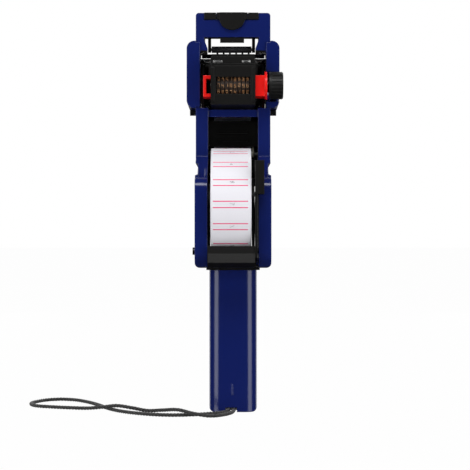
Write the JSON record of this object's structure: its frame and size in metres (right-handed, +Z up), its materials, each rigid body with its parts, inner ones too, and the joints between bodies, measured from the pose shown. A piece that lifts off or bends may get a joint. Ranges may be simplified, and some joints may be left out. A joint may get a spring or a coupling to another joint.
{
  "type": "hand label maker",
  "caption": "Hand price label gun with a swinging print head, digit bands, ink roller, hinged roll holder, squeeze trigger and a wrist cord.",
  "frame": {"origin": "middle of the handle's end, on the surface it stands on", "axes": "+X across the body to the selector knob's side, -Y the label roll's side, +Y the trigger's side, +Z up to the nose"},
  "size_m": [0.1351, 0.0922, 0.2065],
  "materials": {
    "blue_plastic": "glossy moulded dark blue",
    "black_plastic": "satin moulded black",
    "black_pins": "glossy black",
    "knob_plastic": "fine-ribbed black",
    "pad_rubber": "matte rubber",
    "ink_foam": "ink-soaked foam",
    "steel": "bright drawn steel",
    "red_plastic": "glossy bright red",
    "band_rubber": "bronze-brown rubber with raised digits",
    "ivory_plastic": "unpainted ivory plastic",
    "label_paper": "white label paper with pink rules",
    "core_card": "brown card",
    "cord_black": "braided black cord"
  },
  "bodies": {
    "frame": {"main_frame": "blue_plastic", "head_cover_left": "blue_plastic", "head_cover_right": "blue_plastic", "nose_cap": "black_plastic", "latch_striker": "black_plastic", "label_guide": "black_plastic", "platen": "black_plastic", "platen_pad": "pad_rubber", "peel_bar": "steel", "feed_axle": "steel", "feed_pawl": "ivory_plastic", "pawl_pin": "steel", "pivot_pin_left": "black_pins", "pivot_pin_right": "black_pins", "holder_pin": "black_pins", "cover_pin": "steel", "lanyard_post": "steel", "cover_screws": "steel", "label_strip": "label_paper", "applicator_axle": "steel", "trigger_spring": "steel", "lanyard": "cord_black"},
    "trigger": {"trigger": "blue_plastic"},
    "print_head": {"head_housing": "black_plastic", "head_cap": "black_plastic", "head_side_left": "black_plastic", "head_side_right": "black_plastic", "clip_left": "red_plastic", "clip_right": "red_plastic", "band_sprockets": "ivory_plastic", "type_wheels": "ivory_plastic", "type_axle": "steel", "band_1": "band_rubber", "band_2": "band_rubber", "band_3": "band_rubber", "band_4": "band_rubber", "band_5": "band_rubber", "band_6": "band_rubber", "band_7": "band_rubber", "band_8": "band_rubber"},
    "selector": {"selector_shaft": "steel", "selector_collar": "black_plastic"},
    "knob": {"selector_knob": "knob_plastic"},
    "ink_swing": {"ink_arms": "black_plastic", "ink_core": "steel"},
    "ink_roller": {"ink_roller": "ink_foam"},
    "holder": {"roll_holder": "black_plastic", "holder_tab": "black_plastic", "roll_hub": "ivory_plastic"},
    "label_roll": {"label_roll": "label_paper", "roll_core": "core_card"},
    "feed": {"feed_wheel": "ivory_plastic", "ratchet_wheel": "ivory_plastic"},
    "cover": {"base_cover": "black_plastic", "pressure_plate": "ivory_plastic"},
    "applicator": {"applicator_roller": "pad_rubber"},
    "latch": {"cover_latch": "black_plastic"}
  },
  "joints": [
    {"name": "trigger_squeeze", "type": "hinge", "parent": "frame", "child": "trigger", "pos_m": [0, 0.002, 0.1562], "axis": [1, 0, 0], "range_deg": [-13, 0], "stiffness_Nm_per_rad": 0.5, "springref_deg": 20.05, "deforming": ["trigger_spring"]},
    {"name": "head_level", "type": "hinge", "parent": "trigger", "child": "print_head", "pos_m": [0, 0.002, 0.18], "axis": [1, 0, 0], "range_deg": [0, 13]},
    {"name": "knob_pull", "type": "slide", "parent": "print_head", "child": "selector", "axis": [1, 0, 0], "range_m": [0, 0.0168]},
    {"name": "knob_turn", "type": "hinge", "parent": "selector", "child": "knob", "pos_m": [0, -0.018, 0.1681], "axis": [1, 0, 0], "continuous": true},
    {"name": "ink_arm_swing", "type": "hinge", "parent": "frame", "child": "ink_swing", "pos_m": [0, -0.003, 0.1952], "axis": [1, 0, 0], "range_deg": [-19.5, 0]},
    {"name": "ink_roller_spin", "type": "hinge", "parent": "ink_swing", "child": "ink_roller", "pos_m": [0, -0.003, 0.1886], "axis": [1, 0, 0], "continuous": true},
    {"name": "holder_open", "type": "hinge", "parent": "frame", "child": "holder", "pos_m": [0, -0.022, 0.0833], "axis": [1, 0, 0], "range_deg": [0, 60]},
    {"name": "roll_spin", "type": "hinge", "parent": "holder", "child": "label_roll", "pos_m": [0, -0.009, 0.106], "axis": [1, 0, 0], "continuous": true},
    {"name": "feed_spin", "type": "hinge", "parent": "frame", "child": "feed", "pos_m": [0, 0.014, 0.144], "axis": [1, 0, 0], "continuous": true},
    {"name": "cover_open", "type": "hinge", "parent": "frame", "child": "cover", "pos_m": [0, 0.028, 0.114], "axis": [1, 0, 0], "range_deg": [-60, 0]},
    {"name": "applicator_spin", "type": "hinge", "parent": "frame", "child": "applicator", "pos_m": [0, 0.0185, 0.2017], "axis": [1, 0, 0], "continuous": true},
    {"name": "latch_lift", "type": "slide", "parent": "frame", "child": "latch", "axis": [0, 0, 1], "range_m": [0, 0.001], "stiffness_N_per_m": 200, "springref_m": -0.002}
  ],
  "couplings": [
    {"joint": "head_level", "follows": "trigger_squeeze", "ratio": -1},
    {"joint": "ink_arm_swing", "follows": "trigger_squeeze", "ratio": 1.5}
  ]
}
